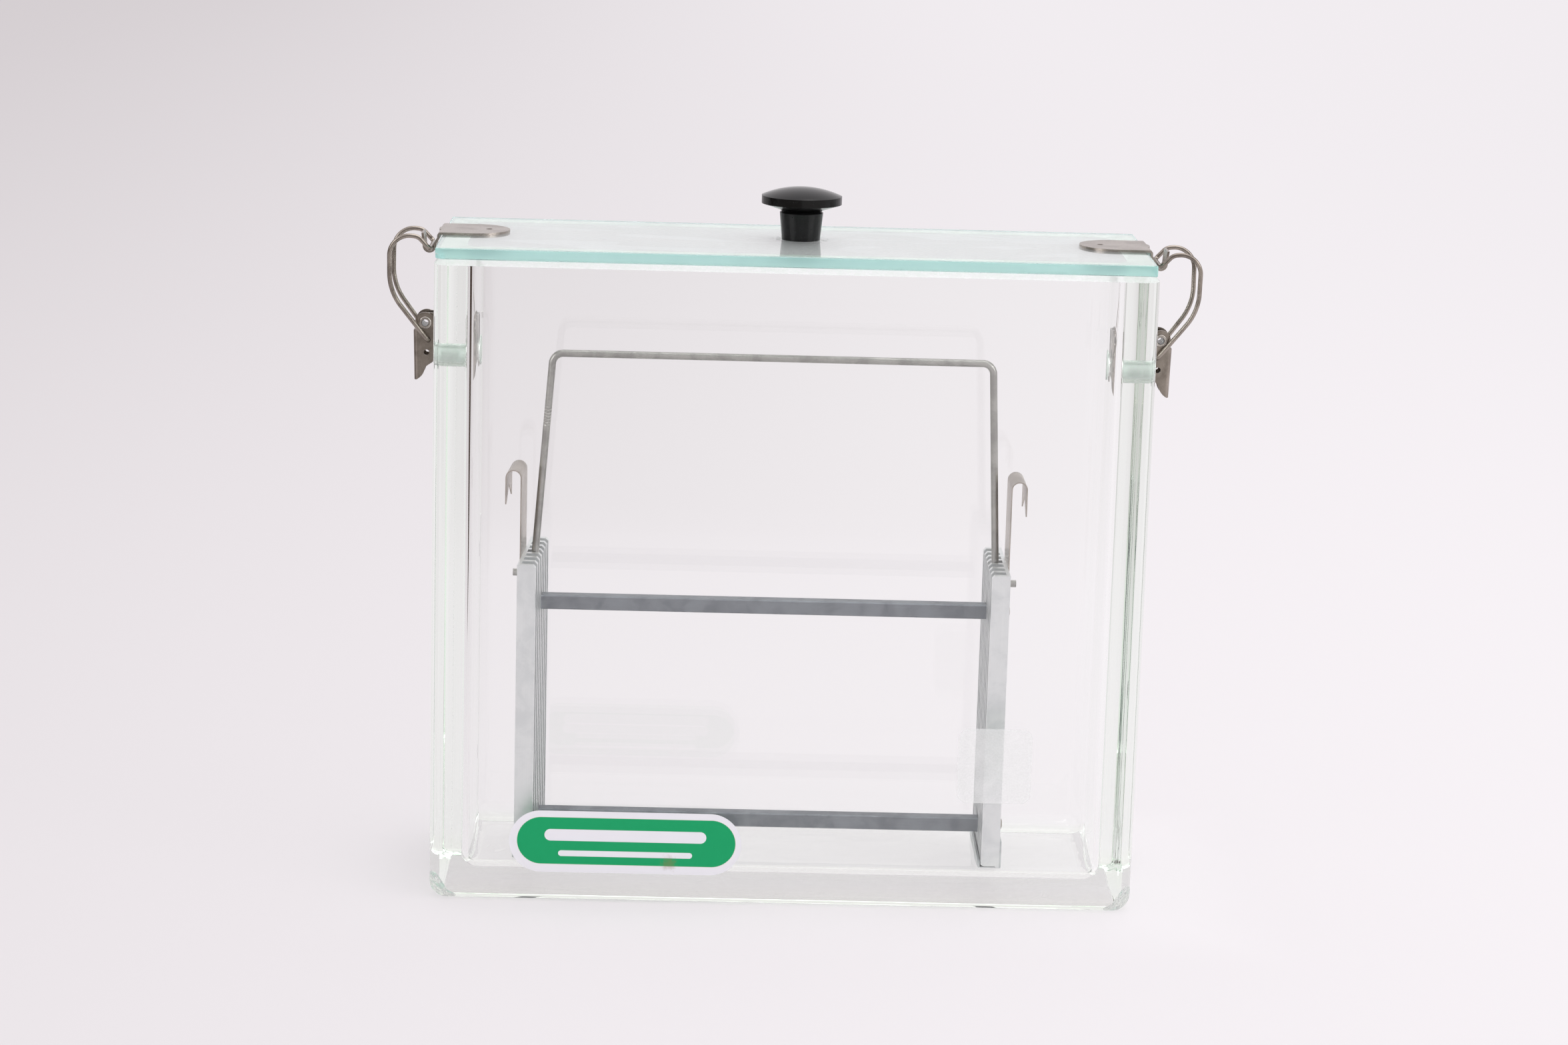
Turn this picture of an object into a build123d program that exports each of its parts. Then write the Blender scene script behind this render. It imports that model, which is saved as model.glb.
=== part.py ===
from build123d import *
import os
from math import radians, tan

# A rectangular glass chamber for developing thin-layer chromatography plates.
# It has a ground plate-glass lid held by two over-centre wire latches, and an
# aluminium rack that carries six plates in combed end plates.
# Frame: +Z up, X along the long side, -Y towards the front. The origin is on
# the underside of the glass, at its centre. All sizes are in millimetres.

# Glass tank, moulded in one piece
TANK_WIDTH = 305.4
TANK_DEPTH = 100.0
TANK_HEIGHT = 280.0
SIDE_WALL = 13.0
FACE_WALL = 10.0
FLOOR = 11.6
OUTER_CORNER_R = 6.0
BASE_EDGE_R = 5.4
INNER_CORNER_R = 8.0
INNER_FLOOR_R = 7.4
RIM_CHAMFER = 2.5
CHIP_SIDE_NORMAL = (1.0, -1.0, -0.6)
CHIP_SIDE_SETBACK = 7.0
CHIP_FRONT_NORMAL = (0.365, -1.0, -1.0)
CHIP_FRONT_SETBACK = 5.0
CHIP_TOOL_SIZE = 40.0

# Lid, a ground glass plate with a chipped corner, pushed a little to the left
LID_INSET = 1.2
LID_X = -0.4
LID_THICKNESS = 4.8
LID_EDGE = 0.4
LID_CHIP_R = 2.6

# Knob, turned in black plastic and glued on
KNOB_X = 2.0
KNOB_Y = 4.5
KNOB_FOOT_R = 8.3
KNOB_STEM_R = 9.45
KNOB_NECK_R = 8.5
KNOB_DISC_R = 17.4
KNOB_STEM_H = 11.8
KNOB_NECK_H = 0.9
KNOB_CONE_H = 3.0
KNOB_RIM_H = 3.4
KNOB_DOME_H = 3.7

# Latch line: clips, latches and wall plugs share it
LATCH_Y = 5.0

# Clip on each end of the lid: a tongue bent down into a cup
CLIP_SHEET = 1.0
CLIP_WIDTH = 30.5
CLIP_REACH = 28.2
CLIP_HOLE_D = 2.6
CLIP_HOLE_INSET = 9.0
CLIP_OVERHANG = 2.2
CLIP_SKIRT = 2.2
CUP_WIDTH = 12.0
CUP_OUT = 5.35
CUP_BELOW_RIM = 1.4
CUP_INNER_R = 1.92
CUP_BEND_R = 1.0
CUP_KNEE_RISE = 1.2
LIP_RISE = 5.6
LIP_LEAN = 0.6

# Latch: base with two ears, lever, eyelet and wire bail
PIVOT_OUT = 7.0
PIVOT_BELOW_RIM = 35.0
BASE_SHEET = 1.2
EAR_SHEET = 1.0
EAR_R = 4.2
EAR_SPAN = 7.6
BASE_LENGTH = 23.0
BASE_CORNER_R = 2.0
LEVER_SHEET = 1.0
LEVER_CLEARANCE = 0.2
LEVER_HEAD_R = 4.5
LEVER_DEPTH = 5.2
LEVER_LENGTH = 25.2
LEVER_WEB_TOP = 3.7
LEVER_TAPER = 0.5
LEVER_FOLD_R = 2.0
LEVER_HOLE_D = 2.5
LEVER_HOLE_DROP = 13.1
LEVER_HOLE_IN = 0.6
EYELET_D = 4.0
EYELET_BORE_D = 3.0
EYELET_HEAD_D = 5.4
EYELET_HEAD_H = 0.6
EYELET_CLEARANCE = 0.1
BAIL_WIRE_D = 2.0
BAIL_CLEARANCE = 0.2
BAIL_REST_IN = 0.65
BAIL_PIN_IN = 1.2
BAIL_PIN_DROP = 7.5
BAIL_PIN_END_GAP = 0.15
BAIL_FOOT_GAP = 0.7
BAIL_TOP_WIDTH = 24.4
BAIL_SPREAD = 3.0
BAIL_ANGLE = 52.8
BAIL_BOW_OUT = 22.1
BAIL_CROWN_RISE = 4.6
BAIL_SHOULDER_OUT = 9.7
BAIL_SHOULDER_RISE = 3.4
BAIL_KNEE_R = 1.6
BAIL_BOW_R = 24.0
BAIL_CROWN_R = 8.8
BAIL_SHOULDER_R = 5.0
BAIL_TOP_R = 2.0

# Screw and plug that hold each latch base through the side wall
WALL_HOLE_D = 10.0
PLUG_CLEARANCE = 0.1
PLUG_FLANGE_D = 13.0
PLUG_FLANGE_H = 1.6
PLUG_RECESS = 0.3
SCREW_BELOW_PIVOT = 11.6
SCREW_D = 4.0
SCREW_LENGTH = 10.0
SCREW_HEAD_D = 6.6
SCREW_HEAD_H = 2.2
SCREW_SLOT = 0.9

# Rack: two combed end plates, two bars, a handle, hooks and feet
RACK_X = -9.7
RACK_WIDTH = 211.5
LEFT_PLATE_TURN = 3.0
GROOVE_PITCH = 7.8
FIN_WIDTH = 3.0
FIN_COUNT = 8
FIN_DEPTH = 6.4
SPINE = 1.6
PLATE_HEIGHT = 133.0
FIN_LIFT = 1.0
FIN_CHAMFER = 1.2
FOOT_SHEET = 0.9
RACK_SEAT_GAP = 0.1
BAR_SECTION = 6.35
BAR_EDGE = 0.5
UPPER_BAR_DROP = 22.3
LOWER_BAR_RISE = 13.2
RACK_SCREW_D = 3.0
RACK_SCREW_REACH = 8.0
RACK_SCREW_HEAD_D = 5.6
RACK_SCREW_HEAD_H = 2.1
RACK_SCREW_CLEARANCE = 0.2
HANDLE_D = 3.175
HANDLE_CLEARANCE = 0.4
PIN_DROP = 9.8
PIN_PROUD = 4.8
HANDLE_RISE = 97.8
LEFT_LEG_IN = 4.15
RIGHT_LEG_IN = 4.35
LEFT_LEAN = 4.3
RIGHT_LEAN = 2.7
HANDLE_TOP_R = 4.8
HANDLE_FOOT_R = 3.2
HOOK_SHEET = 0.5
HOOK_WIDTH = 23.0
HOOK_Y = -2.5
HOOK_SPAN = 7.1
HOOK_RISE = 38.6
HOOK_LEG = 15.0
HOOK_NOTCH = 7.0
HOOK_TIP = 1.0
HOOK_TAIL = 29.0
FOOT_WIDTH = 54.0
FOOT_LEG = 14.0
FOOT_LIP = 4.0
FOOT_LIP_R = 3.0
FOOT_TAB_WIDTH = 9.0
FOOT_GAP = 0.25
CUTTER_MARGIN = 1.0
SOFT_SHARE = 0.8
HALF_ROUND_GAP = 0.01

# Plain pill-shaped label on the front face
LABEL_WIDTH = 100.5
LABEL_HEIGHT = 27.6
LABEL_THICKNESS = 0.25
LABEL_X = -67.7
LABEL_Z = 27.4

# Places that follow from the sizes above
HALF_WIDTH = TANK_WIDTH / 2
LID_WIDTH = TANK_WIDTH - 2 * LID_INSET
LID_DEPTH = TANK_DEPTH
LID_TOP = TANK_HEIGHT + LID_THICKNESS
PIVOT_X = HALF_WIDTH + PIVOT_OUT
PIVOT_Z = TANK_HEIGHT - PIVOT_BELOW_RIM
SCREW_Z = PIVOT_Z - SCREW_BELOW_PIVOT
LEVER_INNER = EAR_SPAN / 2 + LEVER_CLEARANCE
LEVER_OUTER = LEVER_INNER + LEVER_SHEET
CUP_X = HALF_WIDTH + CUP_OUT
CUP_Z = TANK_HEIGHT - CUP_BELOW_RIM
BAIL_PIN_X = PIVOT_X - BAIL_PIN_IN
BAIL_PIN_Z = PIVOT_Z - BAIL_PIN_DROP
CUP_TURN_R = CUP_INNER_R + CLIP_SHEET / 2
BAIL_REST_X = CUP_X - BAIL_REST_IN
BAIL_REST_Z = CUP_Z - CUP_INNER_R + BAIL_WIRE_D / 2 + 2 * BAIL_CLEARANCE
RACK_BASE = FLOOR + FOOT_SHEET + RACK_SEAT_GAP
PLATE_TOP = RACK_BASE + PLATE_HEIGHT
PLATE_DEPTH = (FIN_COUNT - 1) * GROOVE_PITCH + FIN_WIDTH
SPINE_OUTER = RACK_WIDTH / 2
SPINE_INNER = SPINE_OUTER - SPINE
FIN_END = SPINE_INNER - FIN_DEPTH
PIN_Z = PLATE_TOP - PIN_DROP
UPPER_BAR_Z = PLATE_TOP - UPPER_BAR_DROP
LOWER_BAR_Z = RACK_BASE + LOWER_BAR_RISE


def block(x_range, y_range, z_range):
    """A box given by its low and high value along each axis."""
    size = [high - low for low, high in (x_range, y_range, z_range)]
    centre = [(high + low) / 2 for low, high in (x_range, y_range, z_range)]
    return Pos(*centre) * Box(*size)


def rod_x(diameter, x_range, y, z):
    """A round rod along X between two places."""
    low, high = x_range
    return Pos((low + high) / 2, y, z) * Rot(0, 90, 0) * Cylinder(diameter / 2, high - low)


def rod_y(diameter, x, y_range, z):
    """A round rod along Y between two places."""
    low, high = y_range
    return Pos(x, (low + high) / 2, z) * Rot(90, 0, 0) * Cylinder(diameter / 2, high - low)


def extrude_side(drawing, half_width):
    """Stand a drawing of X and Z values up and give it a width about Y = 0."""
    standing = Plane(origin=(0, half_width, 0), x_dir=(1, 0, 0), z_dir=(0, -1, 0)) * drawing
    return extrude(standing, 2 * half_width, dir=(0, -1, 0))


def mirrored(solid):
    """The same piece for the left-hand end."""
    return mirror(solid, about=Plane.YZ)


def on_rack(solid):
    """Move a piece modelled about the middle of the rack to its place in the tank."""
    return Pos(RACK_X, 0, 0) * solid


def turned(solid):
    """Turn a piece of the rack with the left end plate, which isn't square to the bars."""
    pivot = (SPINE_OUTER + SPINE_INNER) / 2
    return Pos(-pivot, 0, 0) * Rot(0, 0, -LEFT_PLATE_TURN) * Pos(pivot, 0, 0) * solid


def wire_along(points, radii, diameter):
    """Bend a round wire through the points, with one radius for each corner."""
    path = FilletPolyline(*points, radius=radii)
    start = Plane(origin=path @ 0, z_dir=path % 0)
    return sweep(start * Circle(diameter / 2), path=path)


def glass_tank():
    """The moulded tank: thick walls, rounded corners, a chamfered ground rim."""
    outer = extrude(RectangleRounded(TANK_WIDTH, TANK_DEPTH, OUTER_CORNER_R), TANK_HEIGHT)
    outer = fillet(outer.faces().sort_by(Axis.Z)[0].edges(), BASE_EDGE_R)
    outer = chamfer(outer.faces().sort_by(Axis.Z)[-1].edges(), RIM_CHAMFER)
    inner_width = TANK_WIDTH - 2 * SIDE_WALL
    inner_depth = TANK_DEPTH - 2 * FACE_WALL
    cavity = extrude(RectangleRounded(inner_width, inner_depth, INNER_CORNER_R), TANK_HEIGHT)
    cavity = fillet(cavity.faces().sort_by(Axis.Z)[0].edges(), INNER_FLOOR_R)
    tank = outer - Pos(0, 0, FLOOR) * cavity
    tank -= rod_x(WALL_HOLE_D, (-TANK_WIDTH, TANK_WIDTH), LATCH_Y, SCREW_Z)
    for side in (-1, 1):
        tank -= corner_chip(side, CHIP_SIDE_NORMAL, CHIP_SIDE_SETBACK)
        tank -= corner_chip(side, CHIP_FRONT_NORMAL, CHIP_FRONT_SETBACK)
    return tank


def corner_chip(side, normal, setback):
    """What is broken off one bottom corner of the front, on one flat break."""
    corner = Vector(side * HALF_WIDTH, -TANK_DEPTH / 2, 0)
    outward = Vector(side * normal[0], normal[1], normal[2]).normalized()
    plane = Plane(origin=corner - outward * setback, z_dir=outward)
    half = CHIP_TOOL_SIZE / 2
    return plane * block((-half, half), (-half, half), (0, CHIP_TOOL_SIZE))


def lid_plate():
    """The plate-glass lid, with the chip at its lower front left corner."""
    left, right = LID_X - LID_WIDTH / 2, LID_X + LID_WIDTH / 2
    lid = block((left, right), (-LID_DEPTH / 2, LID_DEPTH / 2), (TANK_HEIGHT, LID_TOP))
    lid = chamfer(lid.edges(), LID_EDGE)
    return lid - Pos(left, -LID_DEPTH / 2, TANK_HEIGHT) * Sphere(LID_CHIP_R)


def lid_knob():
    """The mushroom knob: tapered stem, narrow neck, disc with a domed top."""
    neck = KNOB_STEM_H + KNOB_NECK_H
    rim_low = neck + KNOB_CONE_H
    rim_high = rim_low + KNOB_RIM_H
    crown = rim_high + KNOB_DOME_H
    dome_r = (KNOB_DISC_R**2 + KNOB_DOME_H**2) / (2 * KNOB_DOME_H)
    stem = Polyline(
        (0, crown), (0, 0), (KNOB_FOOT_R, 0), (KNOB_STEM_R, KNOB_STEM_H),
        (KNOB_NECK_R, neck), (KNOB_DISC_R, rim_low), (KNOB_DISC_R, rim_high),
    )
    dome = RadiusArc((KNOB_DISC_R, rim_high), (0, crown), -dome_r)
    knob = revolve(Plane.XZ * make_face([*stem.edges(), dome]), Axis.Z)
    return Pos(KNOB_X, KNOB_Y, LID_TOP) * knob


def lid_clip(lid_end):
    """The clip on the right end of the lid: round-ended tongue, short skirt and cup."""
    tip_r = CLIP_WIDTH / 2
    tip_x = lid_end - CLIP_REACH + tip_r
    tongue = block(
        (tip_x, lid_end + CLIP_OVERHANG - CUP_BEND_R),
        (-tip_r, tip_r),
        (LID_TOP, LID_TOP + CLIP_SHEET),
    )
    tongue += Pos(tip_x, 0, LID_TOP + CLIP_SHEET / 2) * Cylinder(tip_r, CLIP_SHEET)
    hole_x = lid_end - CLIP_REACH + CLIP_HOLE_INSET
    tongue -= Pos(hole_x, 0, LID_TOP) * Cylinder(CLIP_HOLE_D / 2, 4 * CLIP_SHEET)
    fold_x = lid_end + CLIP_OVERHANG - CLIP_SHEET / 2
    skirt = bent_strip(skirt_line(fold_x), CLIP_SHEET, CLIP_WIDTH)
    cup = bent_strip(cup_line(fold_x), CLIP_SHEET, CUP_WIDTH)
    return Pos(0, LATCH_Y, 0) * (tongue + skirt + cup)


def skirt_line(fold_x):
    """Middle line of the bend at the end of the tongue, over its full width."""
    middle = LID_TOP + CLIP_SHEET / 2
    return FilletPolyline(
        (fold_x - 2 * CUP_BEND_R, middle),
        (fold_x, middle),
        (fold_x, middle - CLIP_SKIRT),
        radius=CUP_BEND_R,
    )


def cup_line(fold_x):
    """Middle line of the narrow tab that runs down, turns under and rises to its lip."""
    middle = LID_TOP + CLIP_SHEET / 2
    inner_x = CUP_X - CUP_TURN_R
    outer_x = CUP_X + CUP_TURN_R
    down = FilletPolyline(
        (fold_x - 2 * CUP_BEND_R, middle),
        (fold_x, middle),
        (fold_x, middle - CLIP_SKIRT),
        (inner_x, CUP_Z + CUP_KNEE_RISE),
        (inner_x, CUP_Z),
        radius=[CUP_BEND_R, CUP_BEND_R / 2, CUP_BEND_R / 2],
    )
    turn = ThreePointArc((inner_x, CUP_Z), (CUP_X, CUP_Z - CUP_TURN_R), (outer_x, CUP_Z))
    lip = Line((outer_x, CUP_Z), (outer_x + LIP_LEAN, CUP_Z + LIP_RISE))
    return Wire([*down.edges(), *turn.edges(), *lip.edges()])


def bent_strip(line, sheet, width):
    """Sheet metal of one thickness along a line drawn in X and Z, centred on Y = 0."""
    start = line @ 0
    heading = line % 0
    across = Vector(-heading.Y, heading.X) * (sheet / 2)
    section = Line(start - across, start + across)
    face = sweep(section, path=line)
    return extrude_side(face, width / 2)


def latch_base():
    """The plate that lies on the side wall, with its two ears folded outwards."""
    half = EAR_SPAN / 2
    top = PIVOT_Z + EAR_R
    plate = block((HALF_WIDTH, HALF_WIDTH + BASE_SHEET), (-half, half), (top - BASE_LENGTH, top))
    plate = fillet(plate.edges().filter_by(Axis.X).sort_by(Axis.Z)[:2], BASE_CORNER_R)
    outline = Pos(PIVOT_X, PIVOT_Z) * Circle(EAR_R)
    outline += Pos((HALF_WIDTH + PIVOT_X) / 2, PIVOT_Z) * Rectangle(PIVOT_OUT, 2 * EAR_R)
    ears = extrude_side(outline, half)
    ears -= block((HALF_WIDTH + BASE_SHEET, TANK_WIDTH), (EAR_SHEET - half, half - EAR_SHEET), (0, TANK_HEIGHT))
    base = plate + ears
    base -= rod_y(EYELET_D + 2 * EYELET_CLEARANCE, PIVOT_X, (-EAR_SPAN, EAR_SPAN), PIVOT_Z)
    base -= rod_x(SCREW_D + 2 * EYELET_CLEARANCE, (0, TANK_WIDTH), 0, SCREW_Z)
    return Pos(0, LATCH_Y, 0) * base


def lever_outline():
    """Side view of the lever: round head, straight back and a curved lower edge."""
    back_low = LEVER_DEPTH - LEVER_TAPER
    wall_side = Line((-LEVER_HEAD_R, 0), (-LEVER_HEAD_R, 0.6 - LEVER_LENGTH * 0.6))
    curve = Spline(
        wall_side @ 1,
        (-LEVER_HEAD_R * 0.1, -0.77 * LEVER_LENGTH),
        (LEVER_DEPTH * 0.16, -0.89 * LEVER_LENGTH),
        (back_low - LEVER_SHEET, -LEVER_LENGTH),
        tangents=((0, -1), (1, -0.6)),
    )
    back = Polyline(
        curve @ 1, (back_low, -LEVER_LENGTH), (LEVER_DEPTH, -LEVER_WEB_TOP),
        (LEVER_HEAD_R * 0.9, -LEVER_WEB_TOP * 0.7), (LEVER_HEAD_R * 0.9, 0), wall_side @ 0,
    )
    return make_face([wall_side, curve, *back.edges()]) + Circle(LEVER_HEAD_R)


def latch_lever():
    """The pressed channel lever, closed against the wall with its web outwards."""
    outline = Pos(PIVOT_X, PIVOT_Z) * lever_outline()
    lever = extrude_side(outline, LEVER_OUTER)
    web_low = (PIVOT_X + LEVER_DEPTH - LEVER_TAPER, PIVOT_Z - LEVER_LENGTH)
    web_high = (PIVOT_X + LEVER_DEPTH, PIVOT_Z - LEVER_WEB_TOP)
    middle = ((web_low[0] + web_high[0]) / 2, (web_low[1] + web_high[1]) / 2)
    folds = [
        lever.edges().sort_by_distance((middle[0], side * LEVER_OUTER, middle[1]))[0] for side in (-1, 1)
    ]
    lever = fillet(folds, LEVER_FOLD_R)
    inner_high = (web_high[0] - LEVER_SHEET, TANK_HEIGHT)
    channel = make_face(Polyline(
        (HALF_WIDTH, 0), (web_low[0] - LEVER_SHEET, 0), (web_low[0] - LEVER_SHEET, web_low[1]),
        (web_high[0] - LEVER_SHEET, web_high[1]), inner_high, (HALF_WIDTH, TANK_HEIGHT), close=True,
    ))
    hollow = extrude_side(channel, LEVER_INNER)
    head_gap = block(
        (HALF_WIDTH, TANK_WIDTH), (-LEVER_INNER, LEVER_INNER), (PIVOT_Z - LEVER_WEB_TOP, TANK_HEIGHT)
    )
    lever -= hollow + head_gap
    through = (-TANK_DEPTH, TANK_DEPTH)
    lever -= rod_y(EYELET_D + 2 * EYELET_CLEARANCE, PIVOT_X, through, PIVOT_Z)
    lever -= rod_y(BAIL_WIRE_D + 2 * BAIL_CLEARANCE, BAIL_PIN_X, through, BAIL_PIN_Z)
    lever -= rod_y(LEVER_HOLE_D, PIVOT_X - LEVER_HOLE_IN, through, PIVOT_Z - LEVER_HOLE_DROP)
    return Pos(0, LATCH_Y, 0) * lever


def latch_eyelet():
    """The hollow rivet that the lever turns on, rolled over at both ends."""
    reach = LEVER_OUTER + EYELET_CLEARANCE
    eyelet = rod_y(EYELET_D, PIVOT_X, (-reach, reach), PIVOT_Z)
    for side in (-1, 1):
        ends = sorted((side * reach, side * (reach + EYELET_HEAD_H)))
        head = rod_y(EYELET_HEAD_D, PIVOT_X, ends, PIVOT_Z)
        rim = head.faces().sort_by(Axis.Y)[0 if side < 0 else -1].edges()
        eyelet += fillet(rim, EYELET_HEAD_H * SOFT_SHARE)
    eyelet -= rod_y(EYELET_BORE_D, PIVOT_X, (-2 * reach, 2 * reach), PIVOT_Z)
    return Pos(0, LATCH_Y, 0) * eyelet


def latch_bail():
    """The sprung wire loop: ends turned into the lever, bowed sides, bar in the cup."""
    pin_end = EAR_SPAN / 2 + BAIL_PIN_END_GAP
    foot_y = LEVER_OUTER + BAIL_FOOT_GAP + BAIL_WIRE_D / 2
    top_y = BAIL_TOP_WIDTH / 2
    bow_x = HALF_WIDTH + BAIL_BOW_OUT
    bow_z = BAIL_PIN_Z + (bow_x - BAIL_PIN_X) * tan(radians(BAIL_ANGLE))
    side = [
        (BAIL_PIN_X, foot_y, BAIL_PIN_Z),
        (bow_x, foot_y + BAIL_SPREAD, bow_z),
        (bow_x, top_y, TANK_HEIGHT + BAIL_CROWN_RISE),
        (HALF_WIDTH + BAIL_SHOULDER_OUT, top_y, TANK_HEIGHT + BAIL_SHOULDER_RISE),
        (BAIL_REST_X, top_y, BAIL_REST_Z),
    ]
    front = [(x, -y, z) for x, y, z in side]
    points = [(BAIL_PIN_X, -pin_end, BAIL_PIN_Z), *front, *reversed(side), (BAIL_PIN_X, pin_end, BAIL_PIN_Z)]
    bends = [BAIL_KNEE_R, BAIL_BOW_R, BAIL_CROWN_R, BAIL_SHOULDER_R, BAIL_TOP_R]
    wire = wire_along(points, [*bends, *reversed(bends)], BAIL_WIRE_D)
    return Pos(0, LATCH_Y, 0) * wire


def wall_plug():
    """The flanged plastic plug in the side wall, blind so that no vapour passes."""
    inner_face = HALF_WIDTH - SIDE_WALL
    plug = rod_x(WALL_HOLE_D - 2 * PLUG_CLEARANCE, (inner_face, HALF_WIDTH - PLUG_RECESS), LATCH_Y, SCREW_Z)
    flange = rod_x(PLUG_FLANGE_D, (inner_face - PLUG_FLANGE_H, inner_face), LATCH_Y, SCREW_Z)
    flange = fillet(flange.faces().sort_by(Axis.X)[0].edges(), PLUG_FLANGE_H / 2)
    screw_end = HALF_WIDTH + BASE_SHEET - SCREW_LENGTH
    return plug + flange - rod_x(SCREW_D, (screw_end, HALF_WIDTH), LATCH_Y, SCREW_Z)


def latch_screw():
    """The slotted pan-head screw that holds the latch base to its plug."""
    seat = HALF_WIDTH + BASE_SHEET
    head = rod_x(SCREW_HEAD_D, (seat, seat + SCREW_HEAD_H), LATCH_Y, SCREW_Z)
    head = fillet(head.faces().sort_by(Axis.X)[-1].edges(), SCREW_HEAD_H / 3)
    slot = block(
        (seat + SCREW_HEAD_H / 2, seat + 2 * SCREW_HEAD_H),
        (LATCH_Y - SCREW_SLOT / 2, LATCH_Y + SCREW_SLOT / 2),
        (SCREW_Z - SCREW_HEAD_D, SCREW_Z + SCREW_HEAD_D),
    )
    return head - slot + rod_x(SCREW_D, (seat - SCREW_LENGTH, seat), LATCH_Y, SCREW_Z)


def rack_end_plate():
    """The combed end plate: a thin spine with eight fins, six plate grooves and one for the handle."""
    half = PLATE_DEPTH / 2
    plate = block((SPINE_INNER, SPINE_OUTER), (-half, half), (RACK_BASE, PLATE_TOP))
    fin_low = RACK_BASE + FIN_LIFT
    fin = block((FIN_END, SPINE_INNER), (-FIN_WIDTH / 2, FIN_WIDTH / 2), (fin_low, PLATE_TOP))
    fin = chamfer(fin.edges().filter_by(Axis.Y).group_by(Axis.X)[0], FIN_CHAMFER)
    for index in range(FIN_COUNT):
        plate += Pos(0, (index - (FIN_COUNT - 1) / 2) * GROOVE_PITCH, 0) * fin
    through = (SPINE_INNER - CUTTER_MARGIN, SPINE_OUTER + CUTTER_MARGIN)
    plate -= rod_x(HANDLE_D + 2 * HANDLE_CLEARANCE, through, 0, PIN_Z)
    for height in (UPPER_BAR_Z, LOWER_BAR_Z):
        plate -= rod_x(RACK_SCREW_D + RACK_SCREW_CLEARANCE, through, 0, height)
    return plate


def rack_bar(height):
    """A square bar between the end plates, tapped at both ends, its left end cut askew."""
    half = BAR_SECTION / 2
    wide = PLATE_DEPTH / 2
    bar = block((-SPINE_INNER, FIN_END), (-half, half), (height - half, height + half))
    bar = chamfer(bar.edges().filter_by(Axis.X), BAR_EDGE)
    bar -= turned(block((-SPINE_OUTER - FIN_DEPTH, -FIN_END), (-wide, wide), (height - wide, height + wide)))
    hole = rod_x(RACK_SCREW_D, (FIN_END - RACK_SCREW_REACH, SPINE_OUTER), 0, height)
    return on_rack(bar - hole - turned(mirrored(hole)))


def rack_screw(seat, height):
    """A dome-head screw that clamps an end plate to one bar."""
    head = rod_x(RACK_SCREW_HEAD_D, (seat, seat + RACK_SCREW_HEAD_H), 0, height)
    head = fillet(head.faces().sort_by(Axis.X)[-1].edges(), RACK_SCREW_HEAD_H * SOFT_SHARE)
    return head + rod_x(RACK_SCREW_D, (FIN_END - RACK_SCREW_REACH, seat), 0, height)


def rack_screws():
    """The upper and lower screws of one end plate."""
    upper = rack_screw(SPINE_OUTER + HOOK_SHEET, UPPER_BAR_Z)
    lower = rack_screw(SPINE_OUTER + FOOT_SHEET, LOWER_BAR_Z)
    return upper + lower


def rack_handle():
    """The wire handle: pins through the spines, leaning legs and a straight grip."""
    tip = SPINE_OUTER + PIN_PROUD
    top = PIN_Z + HANDLE_RISE
    left_foot = LEFT_LEG_IN - SPINE_OUTER
    right_foot = SPINE_OUTER - RIGHT_LEG_IN
    left_top = left_foot + HANDLE_RISE * tan(radians(LEFT_LEAN))
    right_top = right_foot - HANDLE_RISE * tan(radians(RIGHT_LEAN))
    points = [
        (-tip, 0, PIN_Z), (left_foot, 0, PIN_Z), (left_top, 0, top),
        (right_top, 0, top), (right_foot, 0, PIN_Z), (tip, 0, PIN_Z),
    ]
    bends = [HANDLE_FOOT_R, HANDLE_TOP_R, HANDLE_TOP_R, HANDLE_FOOT_R]
    return on_rack(wire_along(points, bends, HANDLE_D))


def rack_hook():
    """The sheet hook on the outside of an end plate, with a swallow-tailed tip."""
    inner = SPINE_OUTER + HOOK_SHEET / 2
    outer = SPINE_OUTER + HOOK_SPAN - HOOK_SHEET / 2
    top = PLATE_TOP + HOOK_RISE - HOOK_SHEET / 2
    bend = (outer - inner) / 2 - HALF_ROUND_GAP
    line = FilletPolyline(
        (inner, PLATE_TOP - HOOK_TAIL), (inner, top), (outer, top), (outer, top - HOOK_LEG), radius=bend
    )
    hook = Pos(0, HOOK_Y, 0) * bent_strip(line, HOOK_SHEET, HOOK_WIDTH)
    tip = top - HOOK_LEG
    notch = make_face(Polyline(
        (HOOK_Y - HOOK_WIDTH / 2 + HOOK_TIP, tip), (HOOK_Y, tip + HOOK_NOTCH),
        (HOOK_Y + HOOK_WIDTH / 2 - HOOK_TIP, tip), close=True,
    ))
    hook -= Pos(SPINE_OUTER + HOOK_SPAN / 2, 0, 0) * extrude(Plane.YZ * notch, HOOK_SPAN)
    through = (SPINE_INNER, SPINE_OUTER + HOOK_SHEET + CUTTER_MARGIN)
    hook -= rod_x(HANDLE_D + 2 * HANDLE_CLEARANCE, through, 0, PIN_Z)
    hook -= rod_x(RACK_SCREW_D + RACK_SCREW_CLEARANCE, through, 0, UPPER_BAR_Z)
    return hook


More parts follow.
